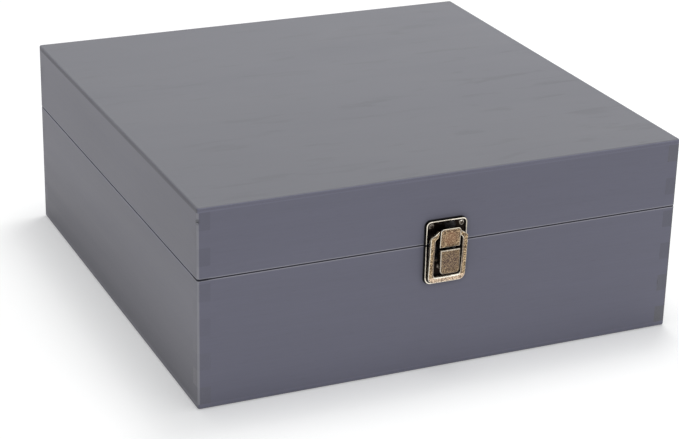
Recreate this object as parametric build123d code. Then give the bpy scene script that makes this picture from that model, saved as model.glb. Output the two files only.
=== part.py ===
from build123d import *
import os

# A square wooden box for papers and keepsakes, with a hinged lid and a draw latch on its front.
# Millimetres. X runs across the front, -Y is the front, +Z is up.
# The origin is the centre of the underside.

# The box as a whole
width = 300.0
depth = 300.0
height = 120.0
seam_height = 78.0
saw_cut = 0.4
board_thickness = 7.5
panel_thickness = 3.0
finger_count = 11
upright_edge_round = 1.6
level_edge_round = 1.0

# The hinges: metal leaves let into the rims, with tails that stop the lid
hinge_from_side = 55.0
hinge_width = 26.0
hinge_leaf_thickness = 1.0
hinge_leaf_reach = 6.0
hinge_barrel_radius = 2.0
hinge_pin_radius = 1.0
hinge_tail_radius = 5.8
lid_stop_angle = 105.0
hinge_screw_spacing = 17.0
hinge_screw_from_edge = 3.2
hinge_screw_length = 9.0
hinge_screw_head_radius = 1.9

# The latch plates. The latch sits a little to the left of the middle.
latch_from_middle = -1.7
latch_width = 25.6
latch_field_thickness = 0.5
latch_rim_height = 1.1
latch_rim_width = 0.9
plate_from_seam = 0.5
lid_plate_height = 13.7
lid_plate_corner = 3.0
base_plate_height = 23.6
base_plate_corner = 4.0

# The hook on the lid plate and the lever on the base plate
latch_sheet = 0.8
hook_front = 6.2
hook_lean = 0.9
hook_width = 12.5
hook_below_seam = 0.6
hook_height = 11.7
hook_lip = 0.3
hook_lip_height = 1.0
hook_corner = 1.3
saddle_height = 7.2
lever_front = 7.4
lever_width = 12.2
lever_length = 14.6
lever_corner = 2.5
lever_bevel = 0.45
lever_below_hook = 1.3
lever_flange_length = 10.5
ear_radius = 1.35
ear_root_drop = 1.6
lever_pin_radius = 0.7
pivot_below_lever_top = 2.2

# The ring that the lever draws down over the hook
ring_width = 23.4
ring_strip = 3.2
ring_thickness = 1.6
ring_shoulder_height = 5.2
ring_inner_shoulder_height = 3.9
ring_height = 9.0
ring_top_width = 13.2
ring_corner = 4.0
ring_above_plate_foot = 1.0
ring_foot_strip = 3.7
ring_edge_round = 0.45
ring_lean_angle = 4.0
ring_bar_height = 1.3
ring_bar_thickness = 1.2
ring_pin_radius = 0.5
ring_pivot_out = 3.8
pin_to_pin = 4.4

# What all the screws share, as shares of their heads
screw_tip_radius = 0.15
cross_width_share = 0.28
cross_length_share = 1.3

# The screws of the latch
latch_screw_shank_radius = 0.9
latch_screw_length = 7.0
latch_screw_head_radius = 2.0
latch_screw_head_height = 0.9
lid_plate_screw_spacing = 19.0
lid_plate_screw_height = 11.0
base_plate_screw_spacing = 6.8
base_plate_screw_depth = 14.0

# Clearances
running_gap = 0.3
side_gap = 0.4
ear_gap = 0.25
pin_gap = 0.05
screw_gap = 0.05
knuckle_gap = 0.15
mortise_gap = 0.1

# Worked out from the sizes above
hinge_spacing = width - 2 * hinge_from_side
base_top = seam_height - saw_cut / 2
lid_bottom = seam_height + saw_cut / 2
frame_bottom = panel_thickness
frame_top = height - panel_thickness
finger_height = (frame_top - frame_bottom) / finger_count
hinge_axis_y = depth / 2 + hinge_barrel_radius + running_gap
knuckle_length = hinge_width / 3
hinge_screw_shank_radius = hinge_screw_head_radius / 2
rim_level = latch_field_thickness + latch_rim_height
hook_top = hook_height - hook_below_seam
lever_top = -hook_below_seam - lever_below_hook
lever_pivot_out = lever_front - latch_sheet - ear_radius - ear_gap
lever_pivot_up = lever_top - pivot_below_lever_top
ring_pivot_up = lever_pivot_up - pin_to_pin
base_plate_foot = -plate_from_seam - base_plate_height
ring_foot = base_plate_foot + ring_above_plate_foot

# The latch is drawn with X across from its own middle, Y up from the seam and Z out from the front of the box
latch_face = Plane(origin=(latch_from_middle, -depth / 2, seam_height), x_dir=(1, 0, 0), z_dir=(0, -1, 0))
latch_side = Plane(origin=(0, 0, 0), x_dir=(0, 0, 1), z_dir=(-1, 0, 0))


def block(x_low, x_high, y_low, y_high, z_low, z_high):
    """A box between six planes."""
    body = Box(x_high - x_low, y_high - y_low, z_high - z_low, align=(Align.MIN, Align.MIN, Align.MIN))
    return Pos(x_low, y_low, z_low) * body


def rod_along_x(radius, x_low, x_high, y, z):
    """A round bar that lies across the box."""
    bar = Cylinder(radius, x_high - x_low, align=(Align.CENTER, Align.CENTER, Align.MIN))
    return Pos(x_low, y, z) * Rot(0, 90, 0) * bar


def cross_recess(head_radius, depth):
    """Two crossed slots, centred on the crown of a screw head."""
    slot_width = head_radius * cross_width_share
    slot_length = head_radius * cross_length_share
    return Box(slot_length, slot_width, depth) + Box(slot_width, slot_length, depth)


def eased_outline():
    """The closed box as one block with its edges eased, which every board is trimmed to."""
    outline = Box(width, depth, height, align=(Align.CENTER, Align.CENTER, Align.MIN))
    outline = fillet(outline.edges().filter_by(Axis.Z), upright_edge_round)
    level_edges = outline.faces().sort_by(Axis.Z)[0].edges() + outline.faces().sort_by(Axis.Z)[-1].edges()
    return fillet(level_edges, level_edge_round)


def corner_fingers(x_side, y_side, first):
    """Every second finger of one corner, counted up from the first."""
    x_inner = width / 2 - board_thickness
    y_inner = depth / 2 - board_thickness
    fingers = []
    for index in range(first, finger_count, 2):
        low = frame_bottom + index * finger_height
        finger = block(x_inner, width / 2, y_inner, depth / 2, low, low + finger_height)
        fingers.append(finger if x_side > 0 else mirror(finger, Plane.YZ))
    return [finger if y_side > 0 else mirror(finger, Plane.XZ) for finger in fingers]


def front_or_back_board(y_side, low, high):
    """A board across the box. Its ends carry the odd fingers of two corners."""
    half_run = width / 2 - board_thickness
    y_faces = sorted((y_side * depth / 2, y_side * (depth / 2 - board_thickness)))
    board = block(-half_run, half_run, *y_faces, frame_bottom, frame_top)
    for x_side in (-1, 1):
        board += corner_fingers(x_side, y_side, 1)
    return board & block(-width, width, -depth, depth, low, high) & envelope


def side_board(x_side, low, high):
    """A board from front to back. Its ends carry the even fingers of two corners."""
    half_run = depth / 2 - board_thickness
    x_faces = sorted((x_side * width / 2, x_side * (width / 2 - board_thickness)))
    board = block(*x_faces, -half_run, half_run, frame_bottom, frame_top)
    for y_side in (-1, 1):
        board += corner_fingers(x_side, y_side, 0)
    return board & block(-width, width, -depth, depth, low, high) & envelope


def panel(low, high):
    """A sheet of thin plywood, glued flush over the edges of the boards."""
    return block(-width / 2, width / 2, -depth / 2, depth / 2, low, high) & envelope


def hinge_screw_places(centre):
    """The two screws of one leaf, as X and Y."""
    y = depth / 2 - hinge_screw_from_edge
    return [(centre - hinge_screw_spacing / 2, y), (centre + hinge_screw_spacing / 2, y)]


def hinge_screw(x, y, rim, into_wood):
    """A countersunk screw, flush with the leaf, that points into the wood."""
    head_depth = hinge_screw_head_radius - hinge_screw_shank_radius
    head = Cone(hinge_screw_head_radius, hinge_screw_shank_radius, head_depth,
                align=(Align.CENTER, Align.CENTER, Align.MIN))
    body_length = hinge_screw_length - head_depth - hinge_screw_shank_radius
    body = Pos(0, 0, head_depth) * Cylinder(hinge_screw_shank_radius, body_length,
                                            align=(Align.CENTER, Align.CENTER, Align.MIN))
    point = Pos(0, 0, head_depth + body_length) * Cone(
        hinge_screw_shank_radius, screw_tip_radius, hinge_screw_shank_radius,
        align=(Align.CENTER, Align.CENTER, Align.MIN))
    cross = cross_recess(hinge_screw_head_radius, head_depth)
    screw = head + body + point - cross
    upright = screw if into_wood > 0 else mirror(screw, Plane.XY)
    return Pos(x, y, rim) * upright


def hinge_screw_hole(x, y, rim, into_wood):
    """The hole for a hinge screw, through the leaf and down into the rim."""
    radius = hinge_screw_shank_radius + screw_gap
    head_depth = hinge_screw_head_radius - hinge_screw_shank_radius
    hole = Cylinder(radius, hinge_screw_length + screw_gap, align=(Align.CENTER, Align.CENTER, Align.MIN))
    hole += Cone(hinge_screw_head_radius + screw_gap, radius, head_depth,
                 align=(Align.CENTER, Align.CENTER, Align.MIN))
    upright = hole if into_wood > 0 else mirror(hole, Plane.XY)
    return Pos(x, y, rim) * upright


def hinge_mortise(centre, rim, into_wood):
    """The shallow recess that lets a leaf lie flush with the rim."""
    z_faces = sorted((rim - into_wood, rim + into_wood * hinge_leaf_thickness))
    return block(centre - hinge_width / 2 - mortise_gap, centre + hinge_width / 2 + mortise_gap,
                 depth / 2 - hinge_leaf_reach - mortise_gap, depth / 2 + mortise_gap, *z_faces)


def hinge_tail(centre, side):
    """The tail behind the barrel. Its stop face lies on a plane through the hinge axis."""
    z_faces = sorted((0, side * hinge_leaf_thickness))
    tail = block(centre - hinge_width / 2, centre + hinge_width / 2, 0, hinge_tail_radius, *z_faces)
    return Pos(0, hinge_axis_y, seam_height) * Rot(side * lid_stop_angle / 2, 0, 0) * tail


def hinge_leaf(centre, side):
    """One leaf with its knuckles and tail. Side is -1 on the base, with two knuckles, and 1 on the lid, with one."""
    rim = base_top if side < 0 else lid_bottom
    z_faces = sorted((rim, rim + side * hinge_leaf_thickness))
    left = centre - hinge_width / 2
    right = centre + hinge_width / 2
    leaf = block(left, right, depth / 2 - hinge_leaf_reach, hinge_axis_y, *z_faces)
    leaf += hinge_tail(centre, side)
    middle = (left + knuckle_length, right - knuckle_length)
    outer = ((left, middle[0]), (middle[1], right))
    own = outer if side < 0 else (middle,)
    other = (middle,) if side < 0 else outer
    for start, end in other:
        grow = knuckle_gap / 2
        leaf -= rod_along_x(hinge_barrel_radius + running_gap, start - grow, end + grow, hinge_axis_y, seam_height)
    for start, end in own:
        first = start if start == left else start + knuckle_gap / 2
        last = end if end == right else end - knuckle_gap / 2
        leaf += rod_along_x(hinge_barrel_radius, first, last, hinge_axis_y, seam_height)
    leaf -= rod_along_x(hinge_pin_radius + pin_gap, left, right, hinge_axis_y, seam_height)
    for x, y in hinge_screw_places(centre):
        leaf -= hinge_screw_hole(x, y, rim, side)
    return leaf


def hinge_pin(centre):
    """The pin through the three knuckles."""
    return rod_along_x(hinge_pin_radius, centre - hinge_width / 2, centre + hinge_width / 2,
                       hinge_axis_y, seam_height)


def plate_outline(low, high, corner, corners_up):
    """The outline of a latch plate, square at the seam and rounded at its far end."""
    outline = Pos(0, (low + high) / 2) * Rectangle(latch_width, high - low)
    end = outline.vertices().group_by(Axis.Y)[-1 if corners_up else 0]
    return fillet(end, corner)


def stamped_plate(outline, seam_edge):
    """Sheet metal with a raised rim around a sunk field. The rim is left out along the seam."""
    plate = extrude(outline, rim_level)
    opening = Pos(0, seam_edge) * Rectangle(latch_width - 2 * latch_rim_width, latch_rim_width * 4)
    field = extrude(offset(outline, -latch_rim_width) + opening, rim_level)
    return plate - Pos(0, 0, latch_field_thickness) * field


def latch_hook():
    """The tongue in front of the lid plate, folded out on two flanges whose tops carry the ring."""
    back = hook_front - latch_sheet
    top_front = hook_front + hook_lean
    tongue_points = [
        (back, -hook_below_seam),
        (hook_front, -hook_below_seam),
        (top_front, hook_top - hook_lip_height),
        (top_front + hook_lip, hook_top - hook_lip_height / 2),
        (top_front + hook_lip, hook_top),
        (top_front, hook_top),
        (top_front - latch_sheet, hook_top - hook_lip_height),
    ]
    tongue = extrude(latch_side * make_face(Polyline(tongue_points, close=True)), hook_width / 2, both=True)
    outline = Pos(0, hook_top - hook_height / 2) * Rectangle(hook_width, hook_height)
    outline = chamfer(outline.vertices().group_by(Axis.Y)[-1], hook_corner)
    tongue &= extrude(outline, height)
    middle = hook_front - latch_sheet / 2
    saddle_lean = hook_lean * (saddle_height + hook_below_seam) / (hook_height - hook_lip_height)
    flange_points = [
        (0, plate_from_seam + latch_rim_width),
        (rim_level, plate_from_seam + latch_rim_width),
        (back, -hook_below_seam),
        (middle, -hook_below_seam),
        (middle + saddle_lean, saddle_height),
        (0, saddle_height),
    ]
    profile = make_face(Polyline(flange_points, close=True))
    for side in (-1, 1):
        flange = extrude(latch_side * profile, latch_sheet / 2, both=True)
        tongue += Pos(side * (hook_width - latch_sheet) / 2, 0, 0) * flange
    return tongue


def latch_screw_places(spacing, level):
    """The two screws of one latch plate, as X and Y on the latch face."""
    return [(-spacing / 2, level), (spacing / 2, level)]


def latch_screw(x, y):
    """A round-head screw with a cross recess, seated on the field of its plate."""
    dome_radius = (latch_screw_head_radius ** 2 + latch_screw_head_height ** 2) / (2 * latch_screw_head_height)
    head = Pos(0, 0, latch_screw_head_height - dome_radius) * Sphere(dome_radius)
    head &= Cylinder(latch_screw_head_radius, latch_screw_head_height, align=(Align.CENTER, Align.CENTER, Align.MIN))
    shank = Cylinder(latch_screw_shank_radius, latch_screw_length - latch_screw_shank_radius,
                     align=(Align.CENTER, Align.CENTER, Align.MAX))
    point = Pos(0, 0, latch_screw_shank_radius - latch_screw_length) * Cone(
        screw_tip_radius, latch_screw_shank_radius, latch_screw_shank_radius,
        align=(Align.CENTER, Align.CENTER, Align.MAX))
    cross = cross_recess(latch_screw_head_radius, latch_screw_head_height)
    screw = head + shank + point - Pos(0, 0, latch_screw_head_height) * cross
    return Pos(x, y, latch_field_thickness) * screw


def latch_screw_hole(x, y):
    """The hole for a latch screw, through its plate and into the board."""
    hole = Cylinder(latch_screw_shank_radius + screw_gap, latch_screw_length + screw_gap,
                    align=(Align.CENTER, Align.CENTER, Align.MAX))
    return Pos(x, y, latch_field_thickness) * hole


def lid_plate():
    """The upper latch plate with its hook."""
    outline = plate_outline(plate_from_seam, plate_from_seam + lid_plate_height, lid_plate_corner, True)
    plate = stamped_plate(outline, plate_from_seam) + latch_hook()
    for x, y in latch_screw_places(lid_plate_screw_spacing, lid_plate_screw_height):
        plate -= latch_screw_hole(x, y)
    return plate


def base_plate():
    """The lower latch plate, with two ears that carry the lever."""
    outline = plate_outline(base_plate_foot, -plate_from_seam, base_plate_corner, False)
    plate = stamped_plate(outline, -plate_from_seam)
    ear_outer = lever_width / 2 - latch_sheet - side_gap
    root = Pos(latch_field_thickness / 2, lever_pivot_up - ear_root_drop) * Rectangle(latch_field_thickness, ear_radius * 2)
    tip = Pos(lever_pivot_out, lever_pivot_up) * Circle(ear_radius)
    profile = make_hull(root.edges() + tip.edges())
    for side in (-1, 1):
        ear = extrude(latch_side * profile, latch_sheet / 2, both=True)
        plate += Pos(side * (ear_outer - latch_sheet / 2), 0, 0) * ear
    plate -= latch_rod(lever_pin_radius + pin_gap, lever_width, lever_pivot_up, lever_pivot_out)
    for x, y in latch_screw_places(base_plate_screw_spacing, -base_plate_screw_depth):
        plate -= latch_screw_hole(x, y)
    return plate


def latch_rod(radius, length, up, out):
    """A round bar across the latch, at a height above the seam and a distance out from the box."""
    return Pos(0, up, out) * Rot(0, 90, 0) * Cylinder(radius, length)


def lever():
    """A channel of sheet metal that the finger lifts from below. It turns on the ears and carries the ring."""
    middle_height = lever_top - lever_length / 2
    outline = Pos(0, middle_height) * Rectangle(lever_width, lever_length)
    outline = fillet(outline.vertices().group_by(Axis.Y)[0], lever_corner)
    web = Pos(0, 0, lever_front - latch_sheet) * extrude(outline, latch_sheet)
    web = chamfer(web.faces().sort_by(Axis.Z)[-1].edges(), lever_bevel)
    web_back = lever_front - latch_sheet
    root_middle = lever_top - lever_bevel - lever_flange_length / 2
    root = Pos(web_back + latch_sheet / 4, root_middle) * Rectangle(latch_sheet / 2, lever_flange_length)
    top_hub = Pos(lever_pivot_out, lever_pivot_up) * Circle(ear_radius + running_gap)
    ring_hub = Pos(ring_pivot_out, ring_pivot_up) * Circle(ring_pin_radius * 2)
    profile = make_hull(root.edges() + top_hub.edges() + ring_hub.edges())
    for side in (-1, 1):
        flange = extrude(latch_side * profile, latch_sheet / 2, both=True)
        web += Pos(side * (lever_width / 2 - latch_sheet / 2), 0, 0) * flange
    web -= latch_rod(lever_pin_radius + pin_gap, latch_width, lever_pivot_up, lever_pivot_out)
    web -= latch_rod(ring_pin_radius + pin_gap, latch_width, ring_pivot_up, ring_pivot_out)
    return web


def ring():
    """A flat frame around the lever, with sloped shoulders and a bar that passes behind the hook."""
    outer_points = [
        (-ring_width / 2, ring_foot),
        (ring_width / 2, ring_foot),
        (ring_width / 2, ring_shoulder_height),
        (ring_top_width / 2, ring_height),
        (-ring_top_width / 2, ring_height),
        (-ring_width / 2, ring_shoulder_height),
    ]
    outer = make_face(Polyline(outer_points, close=True))
    outer = fillet(outer.vertices().group_by(Axis.Y)[0], ring_corner)
    inner_half = ring_width / 2 - ring_strip
    inner_foot = ring_foot + ring_foot_strip
    inner_points = [
        (-inner_half, inner_foot),
        (inner_half, inner_foot),
        (inner_half, ring_inner_shoulder_height),
        (ring_top_width / 2, ring_height - ring_strip),
        (-ring_top_width / 2, ring_height - ring_strip),
        (-inner_half, ring_inner_shoulder_height),
    ]
    inner = make_face(Polyline(inner_points, close=True))
    inner = fillet(inner.vertices().group_by(Axis.Y)[0], ring_corner / 2)
    notch_width = hook_width + 2 * running_gap
    notch_top = ring_height - ring_bar_height
    notch = Pos(0, notch_top / 2) * Rectangle(notch_width, notch_top)
    frame = extrude(outer, ring_thickness)
    frame = fillet(frame.faces().sort_by(Axis.Z)[-1].edges(), ring_edge_round)
    frame -= extrude(inner + notch, ring_thickness)
    frame -= block(-notch_width / 2, notch_width / 2, notch_top, ring_height, ring_bar_thickness, ring_thickness)
    leaning = Pos(0, ring_pivot_up, ring_pivot_out) * Rot(ring_lean_angle, 0, 0)
    frame = leaning * Pos(0, -ring_pivot_up, -ring_thickness / 2) * frame
    frame -= latch_rod(ring_pin_radius + pin_gap, ring_width, ring_pivot_up, ring_pivot_out)
    return frame


def grouped(shapes):
    """Separate solids that share one node."""
    return Compound(children=[shape.solids()[0] for shape in shapes])


envelope = eased_outline()
parts = {}

# The base of the box
parts["bottom_panel"] = panel(0, panel_thickness)
parts["base_front_board"] = front_or_back_board(-1, frame_bottom, base_top)
parts["base_back_board"] = front_or_back_board(1, frame_bottom, base_top)
parts["base_left_board"] = side_board(-1, frame_bottom, base_top)
parts["base_right_board"] = side_board(1, frame_bottom, base_top)

# The lid
parts["top_panel"] = panel(frame_top, height)
parts["lid_front_board"] = front_or_back_board(-1, lid_bottom, frame_top)
parts["lid_back_board"] = front_or_back_board(1, lid_bottom, frame_top)
parts["lid_left_board"] = side_board(-1, lid_bottom, frame_top)
parts["lid_right_board"] = side_board(1, lid_bottom, frame_top)

# The hinges, their mortises and their screws
for name, centre in (("left", -hinge_spacing / 2), ("right", hinge_spacing / 2)):
    parts[f"{name}_hinge_pin"] = hinge_pin(centre)
    for half, side, rim in (("base", -1, base_top), ("lid", 1, lid_bottom)):
        parts[f"{name}_hinge_{half}_leaf"] = hinge_leaf(centre, side)
        places = hinge_screw_places(centre)
        parts[f"{name}_hinge_{half}_screws"] = grouped(hinge_screw(x, y, rim, side) for x, y in places)
        parts[f"{half}_back_board"] -= hinge_mortise(centre, rim, side)
        for x, y in places:
            parts[f"{half}_back_board"] -= hinge_screw_hole(x, y, rim, side)

# The latch, its screws and the holes that they fill
lid_screw_places = latch_screw_places(lid_plate_screw_spacing, lid_plate_screw_height)
base_screw_places = latch_screw_places(base_plate_screw_spacing, -base_plate_screw_depth)
parts["latch_lid_plate"] = latch_face * lid_plate()
parts["latch_base_plate"] = latch_face * base_plate()
parts["latch_lever"] = latch_face * lever()
parts["latch_ring"] = latch_face * ring()
parts["latch_lever_pin"] = latch_face * latch_rod(lever_pin_radius, lever_width + side_gap,
                                                  lever_pivot_up, lever_pivot_out)
parts["latch_ring_pin"] = latch_face * latch_rod(ring_pin_radius, ring_width - side_gap,
                                                 ring_pivot_up, ring_pivot_out)
parts["latch_lid_screws"] = grouped(latch_face * latch_screw(x, y) for x, y in lid_screw_places)
parts["latch_base_screws"] = grouped(latch_face * latch_screw(x, y) for x, y in base_screw_places)
for x, y in lid_screw_places:
    parts["lid_front_board"] -= latch_face * latch_screw_hole(x, y)
for x, y in base_screw_places:
    parts["base_front_board"] -= latch_face * latch_screw_hole(x, y)

os.makedirs("parts", exist_ok=True)
for name, shape in parts.items():
    export_step(shape, f"parts/{name}.step")
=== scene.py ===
from math import cos, pi, radians, sin, tan
import bmesh
import bpy
from mathutils import Matrix, Vector


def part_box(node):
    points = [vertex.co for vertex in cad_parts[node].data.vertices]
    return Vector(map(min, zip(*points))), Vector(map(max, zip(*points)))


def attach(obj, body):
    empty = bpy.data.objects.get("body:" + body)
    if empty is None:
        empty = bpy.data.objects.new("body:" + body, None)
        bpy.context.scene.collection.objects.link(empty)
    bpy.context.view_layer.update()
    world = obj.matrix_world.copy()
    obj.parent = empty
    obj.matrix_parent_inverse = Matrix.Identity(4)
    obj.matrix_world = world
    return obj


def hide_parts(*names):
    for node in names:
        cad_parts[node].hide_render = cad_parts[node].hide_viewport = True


# A square box for papers and keepsakes, of grey-stained board and plywood, with a bronze draw latch.
# Metres. X runs across the front, -Y is the front and +Z is up.
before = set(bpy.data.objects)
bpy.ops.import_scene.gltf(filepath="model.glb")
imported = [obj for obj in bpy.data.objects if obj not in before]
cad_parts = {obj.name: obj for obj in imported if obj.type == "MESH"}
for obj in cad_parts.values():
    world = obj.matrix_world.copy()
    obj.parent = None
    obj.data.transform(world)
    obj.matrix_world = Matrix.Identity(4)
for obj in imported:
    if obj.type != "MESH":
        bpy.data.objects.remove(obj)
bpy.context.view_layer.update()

# The boards: four sides of one closed box, finger-jointed and glued, then sawn through into base and lid.
# They are pale softwood under a thin grey stain that soaks deeper into the end grain of the fingers.
front_low, front_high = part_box("base_front_board")
half_width = front_high.x
front_face = front_low.y
board_thickness = front_high.y - front_low.y
base_rim = front_high.z
lid_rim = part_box("lid_front_board")[0].z
seam_level = (base_rim + lid_rim) / 2
upright_round = 0.0016
# The sum of x and y, less their signs, along the middle of the rounded upright corners
round_middle = 2 * half_width - upright_round * (2 - 2 ** 0.5)
rim_ease = 0.0004
touch = 0.0001

# The latch plates get a painted shadow round them on the front boards, so their places are needed here.
lid_plate_low, lid_plate_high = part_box("latch_lid_plate")
base_plate_low, base_plate_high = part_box("latch_base_plate")
latch_middle = (lid_plate_low.x + lid_plate_high.x) / 2
latch_level = (base_plate_low.z + lid_plate_high.z) / 2
plate_corner = 0.0035
plate_half_width = (lid_plate_high.x - lid_plate_low.x) / 2
plate_half_height = (lid_plate_high.z - base_plate_low.z) / 2
# The painted shadow round the plates is shifted up and to the left.
shadow_shift = 0.0003

quarter = pi / 2
# One grey stain in two tones by the way a face looks: darker and bluer along Y as painted shade, lighter
# along X as painted light.
stain_facing_y_shaded = (0.178, 0.177, 0.230)
stain_facing_x_lit = (0.233, 0.229, 0.262)
# Painted highlight and painted shade for the rounded upright corners, left and right
arris_painted_highlight = (0.36, 0.355, 0.39)
arris_painted_shade = (0.085, 0.078, 0.08)
# Near black for painted shade in the seam and round the latch plates, and for the dark dent
shade_and_dent_black = (0.012, 0.012, 0.016)

# A small dark dent in the front left corner of the lid
dent_level = 0.112
dent_inset = 0.0003


class Wire:
    """One value between nodes. Sums on wires are written as Python and become Math nodes."""

    def __init__(self, recipe, socket):
        self.recipe = recipe
        self.socket = socket

    def math(self, operation, first, second=0.0):
        return self.recipe.node("ShaderNodeMath", {"operation": operation}, {0: first, 1: second})

    def __add__(self, other):
        return self.math("ADD", self, other)

    def __sub__(self, other):
        return self.math("SUBTRACT", self, other)

    def __rsub__(self, other):
        return self.math("SUBTRACT", other, self)

    def __mul__(self, other):
        return self.math("MULTIPLY", self, other)

    def __truediv__(self, other):
        return self.math("DIVIDE", self, other)

    def __mod__(self, other):
        return self.math("MODULO", self, other)

    def __pow__(self, other):
        return self.math("POWER", self, other)

    def __neg__(self):
        return self.math("MULTIPLY", self, -1.0)

    def __abs__(self):
        return self.math("ABSOLUTE", self)

    __radd__ = __add__
    __rmul__ = __mul__

    def larger(self, other):
        """The larger of two values."""
        return self.math("MAXIMUM", self, other)

    def step(self, low, high):
        """A smooth step from 0 at low to 1 at high."""
        return self.recipe.node("ShaderNodeMapRange", {"interpolation_type": "SMOOTHSTEP"},
                                {"Value": self, "From Min": low, "From Max": high})

    def between(self, rise, fall):
        """1 between two smooth steps: up from the first of rise to the second, and down again over fall."""
        return self.step(*rise) * (1 - self.step(*fall))


class Recipe:
    """The nodes of one finish, of the surround or of a repeated piece."""

    def __init__(self, tree):
        self.tree = tree
        tree.nodes.clear()

    def node(self, kind, settings, values, output=0):
        """Makes a node, applies its settings and then its values, and gives one of its outputs."""
        made = self.tree.nodes.new(kind)
        for name, value in settings.items():
            setattr(made, name, value)
        for name, value in values.items():
            for one in value if isinstance(value, list) else [value]:
                if isinstance(one, Wire):
                    self.tree.links.new(one.socket, made.inputs[name])
                else:
                    made.inputs[name].default_value = one
        return Wire(self, made.outputs[output]) if made.outputs else None

    def place(self, offset=(0, 0, 0), turn=0.0):
        """The piece's own coordinates in metres, moved by an offset and turned about the upright."""
        own = self.node("ShaderNodeTexCoord", {}, {}, "Object")
        moved = {"Vector": own, "Location": offset, "Rotation": (0, 0, turn)}
        return self.node("ShaderNodeMapping", {}, moved)

    def axes(self, vector):
        """The three parts of a vector."""
        split = self.node("ShaderNodeSeparateXYZ", {}, {"Vector": vector})
        return [Wire(self, socket) for socket in split.socket.node.outputs]

    def where(self):
        """The piece's own three coordinates, in metres."""
        return self.axes(self.place())

    def facing(self):
        """The three parts of the direction that the surface faces, on the piece's own axes."""
        return self.axes(self.node("ShaderNodeTexCoord", {}, {}, "Normal"))

    def squareness(self):
        """1 where the surface faces straight along one of the piece's own axes, and less between them."""
        facing_x, facing_y, facing_z = self.facing()
        return abs(facing_x).larger(abs(facing_y)).larger(abs(facing_z))

    def rub(self):
        """How much an eased edge is rubbed, and 0 on the rest of a piece."""
        return self.node("ShaderNodeAttribute", {"attribute_name": "rub"}, {}, "Fac")

    def noise(self, place, per_metre, detail=2.0, roughness=0.5, distortion=0.0):
        """Noise from 0 to 1, with a number of waves per metre along each axis."""
        stretched = self.node("ShaderNodeVectorMath", {"operation": "MULTIPLY"}, {0: place, 1: per_metre})
        return self.node("ShaderNodeTexNoise", {}, {
            "Vector": stretched, "Scale": 1.0, "Detail": detail, "Roughness": roughness,
            "Distortion": distortion})

    def near(self, point, radius):
        """A soft ball around a point in metres: 1 at its middle and 0 outside its radius."""
        ends = {0: self.place(), 1: point}
        gap = self.node("ShaderNodeVectorMath", {"operation": "DISTANCE"}, ends, "Value")
        return 1 - gap.step(radius * 0.4, radius)

    def mix(self, factor, first, second):
        """A colour between two colours."""
        pick = [colour if isinstance(colour, Wire) else (*colour, 1) for colour in (first, second)]
        return self.node("ShaderNodeMix", {"data_type": "RGBA"}, {0: factor, 6: pick[0], 7: pick[1]}, 2)

    def bump(self, height, distance, strength):
        """A normal that is tilted by a height in metres."""
        return self.node("ShaderNodeBump", {}, {"Strength": strength, "Distance": distance, "Height": height})


def finish(name):
    """A new material and the recipe for its nodes."""
    material = bpy.data.materials.new(name)
    material.use_nodes = True
    return material, Recipe(material.node_tree)


def coat(recipe, **values):
    """Ends a finish in one Principled shader with these values."""
    shader = recipe.node("ShaderNodeBsdfPrincipled", {}, {
        name.replace("_", " "): (*value, 1) if isinstance(value, tuple) else value
        for name, value in values.items()})
    recipe.node("ShaderNodeOutputMaterial", {}, {"Surface": shader})


def tinted(colour, share):
    """A colour made darker or lighter by one share in all its parts."""
    return tuple(part * share for part in colour)


def finger_ends(wood, offset, turn, tone, speck, stain):
    """The colour of the finger ends. They are brown most of all on the right, and dark where joints gape."""
    x, y, z = wood.where()
    red, green, blue = stain
    plain = wood.mix(tone, tinted(stain, 0.9), tinted(stain, 1.1))
    brown = wood.mix(speck, (red * 0.93, green * 0.93, blue * 0.72), (red * 1.08, green * 1.07, blue * 0.86))
    soaked = wood.noise(wood.place(offset), (9.0, 9.0, 34.0), detail=1.0).step(0.42, 0.62)
    middle_height = z.between((0.041, 0.043), (0.100, 0.102))
    brown_share = (0.25 + 0.85 * x.step(-0.1, 0.1)) * (1 - 0.6 * middle_height)
    colour = wood.mix((0.35 + 0.65 * soaked) * brown_share, plain, brown)
    from_side = half_width - abs(x if turn else y)
    at_root = 1 - abs(from_side - board_thickness).step(0.0002, 0.0004)
    gaping = wood.noise(wood.place(offset, turn), (60.0, 60.0, 260.0), detail=1.0).step(0.55, 0.65)
    return wood.mix(at_root * gaping * brown_share * 0.6, colour, tinted(stain, 0.35))


def plate_painted_shadow(wood):
    """The painted shadow of the latch plates on the front boards' outer face: a dark line close round them,
    and a faint wider shade.
    """
    x, y, z = wood.where()
    facing_x, facing_y, facing_z = wood.facing()
    past_x = (abs(x - latch_middle + shadow_shift) - (plate_half_width - plate_corner)).larger(0.0)
    past_z = (abs(z - latch_level - shadow_shift) - (plate_half_height - plate_corner)).larger(0.0)
    from_plates = (past_x * past_x + past_z * past_z) ** 0.5 - plate_corner
    outer_face = (-facing_y).step(0.5, 0.9)
    plate_shadow_line = (1 - from_plates.step(0.0001, 0.0007)) * outer_face
    plate_soft_shadow = (1 - from_plates.step(0.0005, 0.0040)) * outer_face * 0.16
    return plate_shadow_line, plate_soft_shadow


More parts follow.
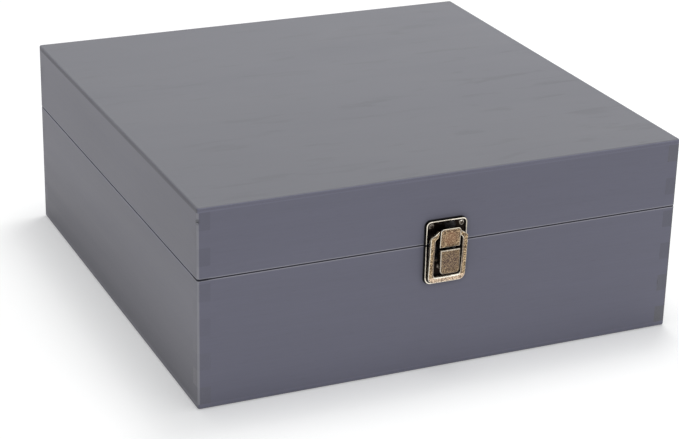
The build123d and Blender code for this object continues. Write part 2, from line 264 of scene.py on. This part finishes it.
def stained_board(name, offset, turn, stain, end_face_tone, holds_latch=False):
    """Stained softwood with its grain along X, or along Y after a quarter turn. Its finger ends take the
    stain's tone for the way they face: the lit tone on the sides and the shaded one on the front and back, as
    painted light and painted shade.
    """
    material, wood = finish(name)
    place = wood.place(offset, turn)
    x, y, z = wood.where()
    facing_x, facing_y, facing_z = wood.facing()
    cloud = wood.noise(place, (3.0, 9.0, 9.0))
    streak = wood.noise(place, (5.0, 130.0, 130.0), detail=3.0, roughness=0.6)
    fibre = wood.noise(place, (40.0, 1300.0, 1300.0))
    pore = wood.noise(place, (110.0, 1500.0, 1500.0), detail=1.0).step(0.66, 0.74)
    speck = wood.noise(place, (900.0, 900.0, 900.0)).step(0.35, 0.7)
    figure = 2.4 if turn else 1.1
    tone = 0.5 + figure * (cloud - 0.5) + 0.55 * (streak - 0.5) + 0.45 * (fibre - 0.5) - 0.3 * pore
    face = wood.mix(tone, tinted(stain, 0.9), tinted(stain, 1.1))
    end_grain = abs(facing_y if turn else facing_x).step(0.6, 0.85)
    colour = wood.mix(end_grain, face, finger_ends(wood, offset, turn, tone, speck, end_face_tone))
    if turn:
        # Painted shade: the sides grow darker towards the bottom.
        shade_near_floor = (1 - z.step(0.0, 0.062)) * (1 - end_grain)
        colour = wood.mix(shade_near_floor * 0.9, colour, tinted(stain, 0.68))

    # Painted highlight down the rounded left corners and painted shade down the right ones
    arris_light_mask = (abs(x) + abs(y)).step(round_middle - 0.00038, round_middle - 0.00014) * (0.5 + 0.5 * cloud)
    colour = wood.mix(arris_light_mask, colour, wood.mix(x.step(0.0, 0.1), arris_painted_highlight, arris_painted_shade))
    from_seam = abs(z - seam_level)
    in_cut = 1 - from_seam.step(0.00032, 0.00042)
    upright = 1 - abs(facing_z).step(0.8, 0.95)
    # The lips beside the seam are lighter: rubbed stain, and partly a painted highlight.
    rubbed = (1 - in_cut) * (1 - from_seam.step(0.0006, 0.0012)) * upright
    colour = wood.mix(rubbed * (0.7 + 0.3 * streak), colour, tinted(end_face_tone, 1.6))

    # Painted shadow round the latch plates, on the front boards only
    plate_shadow_line, plate_soft_shadow = plate_painted_shadow(wood) if holds_latch else (0.0, 0.0)
    # Painted shade in the open front left corner of the seam
    near_corner = wood.near((-half_width, front_face, seam_level), 0.011)
    seam_corner_shade = near_corner * (1 - from_seam.step(0.0004, 0.0008)) * upright
    dent = wood.near((dent_inset - half_width, front_face + dent_inset, dent_level), 0.0022)
    # Painted shade on the eased faces inside the sawn seam, with the corner shade, the plates' soft shadow
    # and the dark dent
    painted_shade_and_dent = (in_cut * wood.rub() * 0.9).larger(seam_corner_shade).larger(dent * speck).larger(plate_soft_shadow)
    colour = wood.mix(painted_shade_and_dent, colour, shade_and_dent_black)
    # The dark line of the plates' painted shadow
    colour = wood.mix(plate_shadow_line, colour, tinted(stain, 0.03))
    height = 0.6 * fibre + 0.4 * streak - 0.8 * pore + 0.5 * speck * end_grain
    coat(
        wood,
        Base_Color=colour,
        Roughness=0.55 + 0.2 * (streak - 0.5) + 0.1 * end_grain,
        Specular_IOR_Level=0.3,
        Normal=wood.bump(height, distance=0.0001, strength=0.5),
    )
    return material


def eased_copy(node, name, *eases, smooth=True):
    """A copy of a CAD piece with doubles merged and flat faces whole.

    Each ease is a width, which edges take it, and how much its new faces are rubbed.
    """
    doubles_gap = 1e-6
    flat_turn, sharp_turn, shading_turn = radians(0.5), radians(35), radians(50)
    narrow = 0.0002
    shape = bmesh.new()
    shape.from_mesh(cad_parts[node].data)
    bmesh.ops.remove_doubles(shape, verts=shape.verts, dist=doubles_gap)
    bmesh.ops.dissolve_limit(shape, angle_limit=flat_turn, verts=shape.verts, edges=shape.edges)
    rub = shape.faces.layers.float.new("rub")
    for width, picked, rubbed in eases:
        sharp = [
            edge for edge in shape.edges
            if edge.is_manifold and edge.calc_face_angle_signed() > sharp_turn
            and picked((edge.verts[0].co + edge.verts[1].co) / 2)
        ]
        eased = bmesh.ops.bevel(shape, geom=sharp, offset=width, offset_type="OFFSET", segments=2,
                                profile=0.5, clamp_overlap=width < narrow, affect="EDGES")
        for face in eased["faces"]:
            face[rub] = rubbed
    mesh = bpy.data.meshes.new(name)
    shape.to_mesh(mesh)
    shape.free()
    piece = bpy.data.objects.new(name, mesh)
    bpy.context.scene.collection.objects.link(piece)
    if smooth:
        mesh.shade_smooth()
        mesh.set_sharp_from_angle(angle=shading_turn)
        weigh = piece.modifiers.new("weigh", "WEIGHTED_NORMAL")
        weigh.keep_sharp = True
        weigh.weight = 100
    made_plain(piece)
    return piece


def made_plain(piece):
    """Turns a piece and its modifier into one plain mesh."""
    evaluated = piece.evaluated_get(bpy.context.evaluated_depsgraph_get())
    plain = bpy.data.meshes.new_from_object(evaluated)
    first = piece.data
    piece.modifiers.clear()
    piece.data = plain
    bpy.data.meshes.remove(first)
    plain.name = piece.name


def fit(piece, node, material, body):
    """Puts a finished piece in the place of its CAD node."""
    piece.data.materials.clear()
    piece.data.materials.append(material)
    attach(piece, body)
    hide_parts(node)


def along_rim(middle, rim):
    """True for an edge that runs along a sawn rim, but not for one inside a finger joint."""
    inner_face = half_width - board_thickness
    long_way, short_way = sorted((abs(middle.x), abs(middle.y)), reverse=True)
    outside = long_way > half_width - 6 * touch
    inside = abs(long_way - inner_face) < touch and short_way < inner_face - touch
    return abs(middle.z - rim) < touch / 10 and (outside or inside)


board_finishes = {
    "front": stained_board("stain_facing_y_shaded", (0.0, 0.31, 0.07), 0.0, stain_facing_y_shaded, stain_facing_x_lit, holds_latch=True),
    "back": stained_board("back_stain", (0.9, 0.53, 0.42), 0.0, stain_facing_y_shaded, stain_facing_x_lit),
    "left": stained_board("left_stain", (0.4, 1.17, 0.91), quarter, stain_facing_x_lit, stain_facing_y_shaded),
    "right": stained_board("right_stain", (1.4, 0.76, 0.33), quarter, stain_facing_x_lit, stain_facing_y_shaded),
}
for half, rim in (("base", base_rim), ("lid", lid_rim)):
    rubbed_rim = (rim_ease, lambda middle: along_rim(middle, rim), 1.0)
    for side, stain in board_finishes.items():
        node = f"{half}_{side}_board"
        piece = eased_copy(node, f"{half}_{side}", rubbed_rim, smooth=False)
        fit(piece, node, stain, half)

# The panels: 3 mm plywood glued over the edges of the boards, top and bottom, and sanded flush.
# The face veneer runs across the box. On the lid's left and right edges its plies took the stain darker.
panel_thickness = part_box("bottom_panel")[1].z
top_stain = (0.156, 0.157, 0.177)
# The plies' front and back edges take the shaded Y tone of the stain, a little lighter: painted shade.
ply_edge_shaded_tone = tinted(stain_facing_y_shaded, 1.12)


def stained_plywood(name, offset, stain, front_edge, side_edge):
    """Stained rotary-cut veneer with faint wandering figure and a painted sheen towards the back right, and
    three plies along its edges.
    """
    material, ply = finish(name)
    place = ply.place(offset)
    own = ply.place()
    x, y, z = ply.axes(own)
    facing_x, facing_y, facing_z = ply.facing()
    cloud = ply.noise(place, (4.0, 7.0, 7.0))
    drift = ply.noise(place, (5.0, 22.0, 22.0), detail=3.0, roughness=0.55, distortion=0.6)
    smudge = ply.noise(place, (26.0, 110.0, 110.0), roughness=0.55, distortion=0.5).step(0.56, 0.74)
    fibre = ply.noise(place, (50.0, 1300.0, 1300.0))
    worn_side = 0.55 + 0.45 * (x - y).step(-0.12, 0.2)
    tone = 0.5 + 0.7 * (cloud - 0.5) + 0.7 * (drift - 0.5) - 0.6 * smudge * worn_side + 0.35 * (fibre - 0.5)
    # Painted sheen: the face grows lighter towards the back right.
    tone = tone + 1.1 * (x + y)
    face = ply.mix(tone, tinted(stain, 0.9), tinted(stain, 1.1))

    edge = 1 - abs(facing_z).step(0.5, 0.85)
    on_side = abs(facing_x).step(0.6, 0.85)
    layer = panel_thickness / 3
    core = (z % panel_thickness).between((0.85 * layer, layer), (2 * layer, 2.15 * layer))
    plies = ply.noise(own, (900.0, 900.0, 2500.0))
    line = ply.noise(own, (30.0, 30.0, 1400.0))
    edge_tone = 0.5 + 0.9 * (plies - 0.5) + 0.8 * (line - 0.5) - 0.25 * core
    # Edges along Y and along X take the shaded and the lit tone they are given, as painted shade and painted
    # light.
    front_colour = ply.mix(edge_tone, tinted(front_edge, 0.86), tinted(front_edge, 1.14))
    side_colour = ply.mix(edge_tone, tinted(side_edge, 0.8), tinted(side_edge, 1.2))
    colour = ply.mix(edge, face, ply.mix(on_side, front_colour, side_colour))
    coat(
        ply,
        Base_Color=colour,
        Roughness=0.52 + 0.25 * (drift - 0.5) + 0.1 * edge,
        Specular_IOR_Level=0.3,
        Normal=ply.bump(0.5 * fibre + 0.6 * plies * edge, distance=0.0001, strength=0.5),
    )
    return material


plywood = {
    "bottom": stained_plywood("bottom_stain", (1.3, 2.1, 0.1), top_stain, ply_edge_shaded_tone, stain_facing_x_lit),
    "top": stained_plywood("top_stain", (0.2, 0.6, 0.1), top_stain, ply_edge_shaded_tone, tinted(stain_facing_x_lit, 0.72)),
}
for side, body in (("bottom", "base"), ("top", "lid")):
    node = f"{side}_panel"
    fit(eased_copy(node, f"{side}_plywood", smooth=False), node, plywood[side], body)

# The latch: pressed plates, hook, lever and ring of bronzed steel, darkened and then rubbed bright, with a
# painted highlight on the rubbed edges.
# The hook and its plate are screwed to the lid. The lever and the ring turn on pins in the base plate's ears.
bronze_dark = (0.075, 0.052, 0.042)
bronze_brown = (0.075, 0.044, 0.025)
bronze_gold = (0.56, 0.405, 0.25)
# Pale rubbed metal, made paler still as a painted highlight
worn_highlight_cream = (0.98, 0.92, 0.79)
lever_gold = (0.46, 0.34, 0.21)
ring_gold = (0.80, 0.60, 0.36)
ring_dull = (0.15, 0.12, 0.11)
ring_foot_pale = (0.94, 0.74, 0.57)
smear_grey = (0.055, 0.052, 0.056)

# How far the plates' sunk field, their raised rim and the root of the hook stand out from the front
field_out = 0.0005
rim_out = 0.0016
hook_root_out = 0.0026

# The redder middle of the hook and the duller middle of the lever: place, reach and colour
hook_spot = ((latch_middle, front_face - 0.0068, seam_level + 0.005), 0.006, (0.22, 0.115, 0.07))
lever_spot = ((latch_middle, front_face - 0.0074, seam_level - 0.009), 0.008, (0.085, 0.056, 0.052))

# The ring leans about the line of its pin. Its shoulders are cut off, and its foot is its widest bar.
ring_low, ring_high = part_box("latch_ring")
ring_half_width = (ring_high.x - ring_low.x) / 2
ring_half_opening = 0.0085
ring_thickness = 0.0016
ring_lean = radians(4.0)
ring_foot_top = 0.0586
ring_shoulder = seam_level + 0.0052
ring_front_top = 0.0855
ring_pin = sum(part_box("latch_ring_pin"), Vector()) / 2


def bronze(name, offset, dark, brown, gold, worn_highlight_colour, edge_wear=1.0, spot=None, own_wear=None):
    """Antiqued bronze: a grainy brown skin, rubbed to pale metal along its edges with a painted highlight
    there, and black on its sides along X as painted shade.

    A spot is a round patch: its place, its reach and its colour. Own wear is what one kind of piece adds.
    """
    material, metal = finish(name)
    place = metal.place(offset)
    facing_x, facing_y, facing_z = metal.facing()
    grit = metal.noise(place, (1500.0,) * 3, detail=3.0, roughness=0.7)
    patch = metal.noise(place, (850.0,) * 3)
    skin = metal.mix(grit.step(0.42, 0.6), brown, gold)
    skin = metal.mix(0.6 * patch.step(0.48, 0.66), skin, dark)
    if spot:
        point, reach, shade = spot
        skin = metal.mix(metal.near(point, reach) * (0.25 + 0.7 * (1 - grit.step(0.44, 0.54))), skin, shade)
    # Edges are rubbed bright and carry a painted highlight.
    rubbed = metal.rub().larger(1 - metal.squareness().step(0.86, 0.985)) * edge_wear
    # Painted shade: sides that face along X are made black.
    shaded_sides_and_field = abs(facing_x).step(0.8, 0.97) * 0.8
    if own_wear:
        skin, rubbed, shaded_sides_and_field = own_wear(metal, grit, skin, rubbed, shaded_sides_and_field)
    smear = metal.noise(place, (170.0,) * 3, detail=1.0).step(0.52, 0.68)
    skin = metal.mix(shaded_sides_and_field, skin, metal.mix(smear, tinted(dark, 0.18), smear_grey))
    colour = metal.mix(rubbed * (0.65 + 0.35 * grit.step(0.3, 0.6)), skin, worn_highlight_colour)
    coat(
        metal,
        Base_Color=colour,
        Metallic=1.0,
        Roughness=0.42 - 0.12 * rubbed + 0.25 * (grit - 0.5),
        Normal=metal.bump(grit, distance=0.0001, strength=0.6),
    )
    return material


def plate_wear(metal, grit, skin, rubbed, shaded_sides_and_field):
    """A plate is black in its low field, and bright along the top of its rim, partly rubbed and partly a
    painted highlight that is weaker on the right.
    """
    x, y, z = metal.where()
    facing_x, facing_y, facing_z = metal.facing()
    out = front_face - y
    low = 1 - out.step(rim_out + 0.0003, rim_out + 0.0006)
    crest = low * out.step(rim_out - 0.00045, rim_out - 0.0002) * (-facing_y).step(0.6, 0.88)
    # Painted highlight on the rim, weaker on the right
    crest = crest * (1 - 0.45 * (x - latch_middle).step(plate_half_width - 0.0016, plate_half_width - 0.0006))
    return skin, rubbed * (1 - low) + crest, shaded_sides_and_field * (1 - low) + low * (1 - crest)


def ring_wear(metal, grit, skin, rubbed, shaded_sides_and_field):
    """The ring is dull around its opening and pale along its foot, with a painted highlight along its left
    and lower front edges.
    """
    x, y, z = metal.where()
    facing_x, facing_y, facing_z = metal.facing()
    right = x - latch_middle
    inside = 1 - abs(right).step(ring_half_opening + 0.0007, ring_half_opening + 0.0015)
    inside = inside * z.between((ring_foot_top + 0.0002, ring_foot_top + 0.0016),
                                (ring_shoulder - 0.0027, ring_shoulder - 0.0012))
    skin = metal.mix(inside * 0.6, skin, ring_dull)
    foot = (1 - z.step(ring_foot_top - 0.0006, ring_foot_top + 0.0006)) * (0.15 + 0.6 * grit.step(0.44, 0.56))
    skin = metal.mix(foot, skin, ring_foot_pale)
    # Painted highlight along the ring's left and lower front edges
    left_edge = (-right).step(ring_half_width - 0.0006, ring_half_width - 0.0002)
    lower_edge = 1 - z.step(ring_low.z + 0.0003, ring_low.z + 0.0007)
    bright = left_edge.larger(lower_edge) * 0.9 * (-facing_y).step(0.5, 0.8)
    right_inner_side = (-facing_x).step(0.6, 0.9) * right.step(0.0, 0.001)
    return skin, (rubbed * (1 - 0.75 * inside)).larger(bright), shaded_sides_and_field * (1 - right_inner_side)


def on_plate_crest(middle):
    return abs(front_face - rim_out - middle.y) < touch


def on_hook_front(middle):
    return middle.y < front_face - hook_root_out


def on_ring_shoulder(middle):
    across = abs(middle.x - latch_middle)
    return abs(across - ring_half_width) < touch and abs(middle.z - ring_shoulder) < 2 * touch


def on_ring_front(middle):
    front = ring_pin.y - ring_thickness / 2 - (middle.z - ring_pin.z) * tan(ring_lean)
    return middle.y < front + touch and middle.z < ring_front_top


def on_ring_foot_lip(middle):
    by_opening = abs(middle.x - latch_middle) < ring_half_opening + touch
    return on_ring_front(middle) and by_opening and abs(middle.z - ring_foot_top) < 6 * touch


def anywhere(middle):
    return True


plate_finish = bronze("hook_bronze", (0.1, 0.2, 0.3), bronze_dark, bronze_brown, bronze_gold, worn_highlight_cream,
                      spot=hook_spot, own_wear=plate_wear)
lever_finish = bronze("lever_bronze", (0.4, 0.3, 0.2), bronze_dark, bronze_brown, lever_gold,
                      tinted(worn_highlight_cream, 0.8), edge_wear=0.6, spot=lever_spot)
ring_finish = bronze("ring_bronze", (0.5, 0.1, 0.2), bronze_dark, bronze_brown, ring_gold, worn_highlight_cream,
                     own_wear=ring_wear)
pin_finish = bronze("pin_bronze", (0.2, 0.5, 0.9), tinted(bronze_dark, 0.4), brown=(0.03, 0.022, 0.017),
                    gold=(0.07, 0.052, 0.037), worn_highlight_colour=(0.25, 0.2, 0.15), edge_wear=0.5)
crest_ease = (0.0003, on_plate_crest, 1.0)
hook_ease = (0.00028, on_hook_front, 1.0)
shoulder_ease = (0.0016, on_ring_shoulder, 0.0)
foot_lip_ease = (0.0009, on_ring_foot_lip, 1.0)
ring_front_ease = (0.0004, on_ring_front, 1.0)
fine_ease = (0.00012, anywhere, 1.0)
pin_ease = (0.0001, anywhere, 1.0)
for node, body, material, eases in (
    ("latch_lid_plate", "lid", plate_finish, [crest_ease, hook_ease]),
    ("latch_base_plate", "base", plate_finish, [crest_ease]),
    ("latch_lever", "lever", lever_finish, [fine_ease]),
    ("latch_ring", "ring", ring_finish, [shoulder_ease, foot_lip_ease, ring_front_ease]),
    ("latch_lever_pin", "base", pin_finish, [pin_ease]),
    ("latch_ring_pin", "ring", pin_finish, [pin_ease]),
):
    fit(eased_copy(node, f"{node}_piece", *eases), node, material, body)

# The hinges: two stop hinges of bronzed steel, let into the rims of the back boards.
# Each has a leaf in the base, a leaf in the lid and a pin through three knuckles.
hinge_finish = bronze("hinge_bronze", (0.7, 0.4, 0.1), bronze_dark, brown=(0.19, 0.13, 0.08),
                      gold=(0.40, 0.29, 0.18), worn_highlight_colour=worn_highlight_cream, edge_wear=0.35)
for side in ("left", "right"):
    for part, body in (("base_leaf", "base"), ("lid_leaf", "lid"), ("pin", "base")):
        node = f"{side}_hinge_{part}"
        fit(eased_copy(node, f"{node}_piece", fine_ease), node, hinge_finish, body)

# The screws: two in each latch plate with round heads, and two in each hinge leaf with countersunk heads.
# All are bronzed steel wood screws with a cross slot, driven home at whatever turn they stopped.
round_sizes = {"Head radius": 0.002, "Head height": 0.0009, "Shank radius": 0.0009, "Length": 0.007,
               "Slot width": 0.00066, "Slot length": 0.0026}
flat_sizes = {"Head radius": 0.0019, "Head height": 0.00095, "Shank radius": 0.00095, "Length": 0.009,
              "Slot width": 0.00053, "Slot length": 0.0025}
lid_screws_low, lid_screws_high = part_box("latch_lid_screws")
right_lid_screw = (lid_screws_high.x - round_sizes["Head radius"], front_face - field_out - 0.0005,
                   (lid_screws_low.z + lid_screws_high.z) / 2)


def crown_highlight(metal, grit, skin, rubbed, shaded_sides_and_field):
    """A screw's crown carries a painted highlight in a ring, brightest on the right one of the lid plate's.
    """
    ring = metal.squareness().between((0.78, 0.86), (0.92, 0.955))
    return skin, rubbed + ring * (0.25 + 0.75 * metal.near(right_lid_screw, 0.008)), shaded_sides_and_field


def screw_recipe(name, countersunk):
    """The nodes that make one screw, head up, and put it at every point that they are given."""
    tree = bpy.data.node_groups.new(name, "GeometryNodeTree")
    inputs = (("Places", "Geometry"), ("Head radius", "Float"), ("Head height", "Float"),
              ("Shank radius", "Float"), ("Length", "Float"), ("Slot width", "Float"),
              ("Slot length", "Float"), ("Facing", "Vector"), ("Seed", "Int"), ("Finish", "Material"))
    for label, kind in inputs:
        tree.interface.new_socket(label, in_out="INPUT", socket_type=f"NodeSocket{kind}")
    tree.interface.new_socket("Screws", in_out="OUTPUT", socket_type="NodeSocketGeometry")
    screw = Recipe(tree)

    def given(label):
        return screw.node("NodeGroupInput", {}, {}, label)

    def vector(x, y, z):
        return screw.node("ShaderNodeCombineXYZ", {}, {0: x, 1: y, 2: z})

    def raised(shape, height):
        lift = vector(0.0, 0.0, height)
        return screw.node("GeometryNodeTransform", {}, {"Geometry": shape, "Translation": lift})

    def block(size):
        return screw.node("GeometryNodeMeshCube", {}, {"Size": size})

    def cone(sides, top, bottom, tall):
        return screw.node("GeometryNodeMeshCone", {}, {
            "Vertices": sides, "Radius Top": top, "Radius Bottom": bottom, "Depth": tall})

    def joined(operation, first, others):
        meshes = {"Mesh 2": [first, *others]}
        if operation == "DIFFERENCE":
            meshes = {"Mesh 1": first, "Mesh 2": others}
        return screw.node("GeometryNodeMeshBoolean", {"operation": operation, "solver": "EXACT"}, meshes)

    radius = given("Head radius")
    height = given("Head height")
    shank_radius = given("Shank radius")
    length = given("Length")
    if countersunk:
        head = raised(cone(40, radius, shank_radius, height), -height)
        head_top = 0.0
        into_head = height * -0.5
    else:
        crown = (radius * radius + height * height) / (height * 2.0)
        ball = raised(screw.node("GeometryNodeMeshUVSphere", {}, {
            "Segments": 40, "Rings": 60, "Radius": crown}), height - crown)
        above = raised(block(vector(radius * 3.0, radius * 3.0, height * 2.0)), height)
        head = joined("INTERSECT", ball, [above])
        head_top = height
        into_head = height * 0.2
    shank = raised(cone(24, shank_radius, shank_radius * 0.2, length + into_head), -length)
    whole = joined("UNION", head, [shank])
    wide = given("Slot width")
    long = given("Slot length")
    first_slot = raised(block(vector(long, wide, height)), head_top)
    second_slot = raised(block(vector(wide, long, height)), head_top)
    whole = joined("DIFFERENCE", whole, [joined("UNION", first_slot, [second_slot])])
    spots = screw.node("GeometryNodeInstanceOnPoints", {}, {
        "Points": given("Places"), "Instance": whole, "Rotation": given("Facing")})
    turns = {2: 0.0, 3: quarter, "Seed": given("Seed")}
    turn = screw.node("FunctionNodeRandomValue", {"data_type": "FLOAT"}, turns, 1)
    driven = screw.node("GeometryNodeRotateInstances", {}, {
        "Instances": spots, "Rotation": vector(0.0, 0.0, turn), "Local Space": True})
    solid = screw.node("GeometryNodeRealizeInstances", {}, {"Geometry": driven})
    coated = {"Geometry": solid, "Material": given("Finish")}
    finished = screw.node("GeometryNodeSetMaterial", {}, coated)
    screw.node("NodeGroupOutput", {}, {"Screws": finished})
    return tree


def drive_screws(node, body, tree, facing, seed, sizes):
    """Puts two screws in the place of a CAD node of two screws, with their heads on their seat."""
    low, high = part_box(node)
    radius = sizes["Head radius"]
    middle = (low + high) / 2
    seats = {"front": Vector((0, front_face - field_out, middle.z)), "up": Vector((0, middle.y, high.z)),
             "down": Vector((0, middle.y, low.z))}
    turns = {"front": (quarter, 0.0, 0.0), "up": (0.0, 0.0, 0.0), "down": (pi, 0.0, 0.0)}
    places = [(x, seats[facing].y, seats[facing].z) for x in (low.x + radius, high.x - radius)]
    mesh = bpy.data.meshes.new(node)
    mesh.from_pydata(places, [], [])
    piece = bpy.data.objects.new(f"{node}_piece", mesh)
    bpy.context.scene.collection.objects.link(piece)
    modifier = piece.modifiers.new("screws", "NODES")
    modifier.node_group = tree
    chosen = {**sizes, "Facing": turns[facing], "Seed": seed, "Finish": screw_finish}
    for item in tree.interface.items_tree:
        if item.name in chosen:
            modifier[item.identifier] = chosen[item.name]
    made_plain(piece)
    piece.data.shade_smooth()
    shading_turn = radians(40)
    piece.data.set_sharp_from_angle(angle=shading_turn)
    fit(piece, node, screw_finish, body)


screw_finish = bronze("screw_bronze", (0.3, 0.8, 0.6), tinted(bronze_dark, 0.5), brown=(0.05, 0.04, 0.032),
                      gold=(0.12, 0.10, 0.08), worn_highlight_colour=(0.72, 0.66, 0.58), edge_wear=0.0, own_wear=crown_highlight)
round_head = screw_recipe("round_head_screws", False)
flat_head = screw_recipe("countersunk_screws", True)
drive_screws("latch_lid_screws", "lid", round_head, "front", 3, round_sizes)
drive_screws("latch_base_screws", "base", round_head, "front", 5, round_sizes)
for seed, side in enumerate(("left", "right")):
    drive_screws(f"{side}_hinge_base_screws", "base", flat_head, "up", 11 + seed, flat_sizes)
    drive_screws(f"{side}_hinge_lid_screws", "lid", flat_head, "down", 21 + seed, flat_sizes)

# The studio: a white floor in a white surround, two soft lamps overhead, one of them to the back right,
# and a weak one in front. The floor and the surround look brighter to the camera and in reflections
# than they light the box.
floor_reach = 6.0
floor_drop = 0.0003
floor_lift = 0.29
surround_level = 0.50
lamp_height = 1.5
lamp_white = (1.0, 1.0, 0.98)
lit_point = (0, 0, 0.1)


def seen_rays(recipe):
    """1 for rays from the camera and for rays that show in a reflection, and 0 for rays that light."""
    camera_ray = recipe.node("ShaderNodeLightPath", {}, {}, "Is Camera Ray")
    return camera_ray.larger(recipe.node("ShaderNodeLightPath", {}, {}, "Is Glossy Ray"))


def lamp(name, place, target, size, level, colour):
    """A square soft lamp. Level is how bright it makes a white surface at its target that faces it."""
    light = bpy.data.lights.new(name, "AREA")
    light.shape = "SQUARE"
    light.size = size
    light.color = colour
    reach = Vector(target) - Vector(place)
    light.energy = level * pi * pi * reach.length_squared
    made = bpy.data.objects.new(name, light)
    made.location = place
    made.rotation_euler = reach.to_track_quat("-Z", "Y").to_euler()
    bpy.context.scene.collection.objects.link(made)


floor_mesh = bpy.data.meshes.new("floor")
floor_shape = bmesh.new()
bmesh.ops.create_grid(floor_shape, x_segments=1, y_segments=1, size=floor_reach)
floor_shape.to_mesh(floor_mesh)
floor_shape.free()
floor_mesh.transform(Matrix.Translation((0, 0, -floor_drop)))
floor = bpy.data.objects.new("floor", floor_mesh)
bpy.context.scene.collection.objects.link(floor)
white, floor_recipe = finish("white_floor")
glow = floor_recipe.node("ShaderNodeEmission", {}, {"Strength": seen_rays(floor_recipe) * floor_lift})
matt = floor_recipe.node("ShaderNodeBsdfDiffuse", {}, {"Color": (0.8, 0.8, 0.8, 1)})
both = floor_recipe.node("ShaderNodeAddShader", {}, {0: matt, 1: glow})
floor_recipe.node("ShaderNodeOutputMaterial", {}, {"Surface": both})
floor.data.materials.append(white)

world = bpy.data.worlds.new("surround")
bpy.context.scene.world = world
world.use_nodes = True
surround = Recipe(world.node_tree)
surround_white = (0.97, 0.985, 1.0, 1)
room = surround.node("ShaderNodeBackground", {}, {"Color": surround_white, "Strength": surround_level})
bright = surround.node("ShaderNodeBackground", {}, {"Color": (1, 1, 1, 1), "Strength": 1.0})
choice = surround.node("ShaderNodeMixShader", {}, {0: seen_rays(surround), 1: room, 2: bright})
surround.node("ShaderNodeOutputWorld", {}, {"Surface": choice})

lamp("overhead", (0, 0, lamp_height), lit_point, size=0.45, level=0.29, colour=lamp_white)
lamp("overhead_right", (0.3, 0.3, lamp_height), lit_point, size=0.45, level=0.33, colour=lamp_white)
lamp("front_fill", (0.7, -1.6, 1.0), (0, 0, 0.06), size=1.2, level=0.075, colour=(0.97, 0.98, 1.0))

# The camera: it stands to the front left of the box, a little above the lid, and looks down on it.
# Its focal length is in pixels of the picture, which is as wide as picture_width.
picture_width = 679
focal_length = 2025.317796
azimuth, elevation, roll = radians(-24.244631), radians(22.655235), radians(1.30849)
distance, shift_right, shift_up = 1.298288, 0.000964, 0.030263
camera_data = bpy.data.cameras.new("camera")
camera = bpy.data.objects.new("camera", camera_data)
bpy.context.scene.collection.objects.link(camera)
bpy.context.scene.camera = camera
camera_data.sensor_width = 36.0
camera_data.lens = focal_length / picture_width * camera_data.sensor_width
camera_data.clip_start = 0.05
back = Vector((sin(azimuth) * cos(elevation), -cos(azimuth) * cos(elevation), sin(elevation)))
level_right = Vector((0, 0, 1)).cross(back).normalized()
level_up = back.cross(level_right)
right = level_right * cos(roll) + level_up * sin(roll)
up = level_up * cos(roll) - level_right * sin(roll)
axes = Matrix((right, up, back)).transposed().to_4x4()
camera.matrix_world = Matrix.Translation(back * distance + right * shift_right + up * shift_up) @ axes
bpy.context.scene.view_settings.view_transform = "Standard"
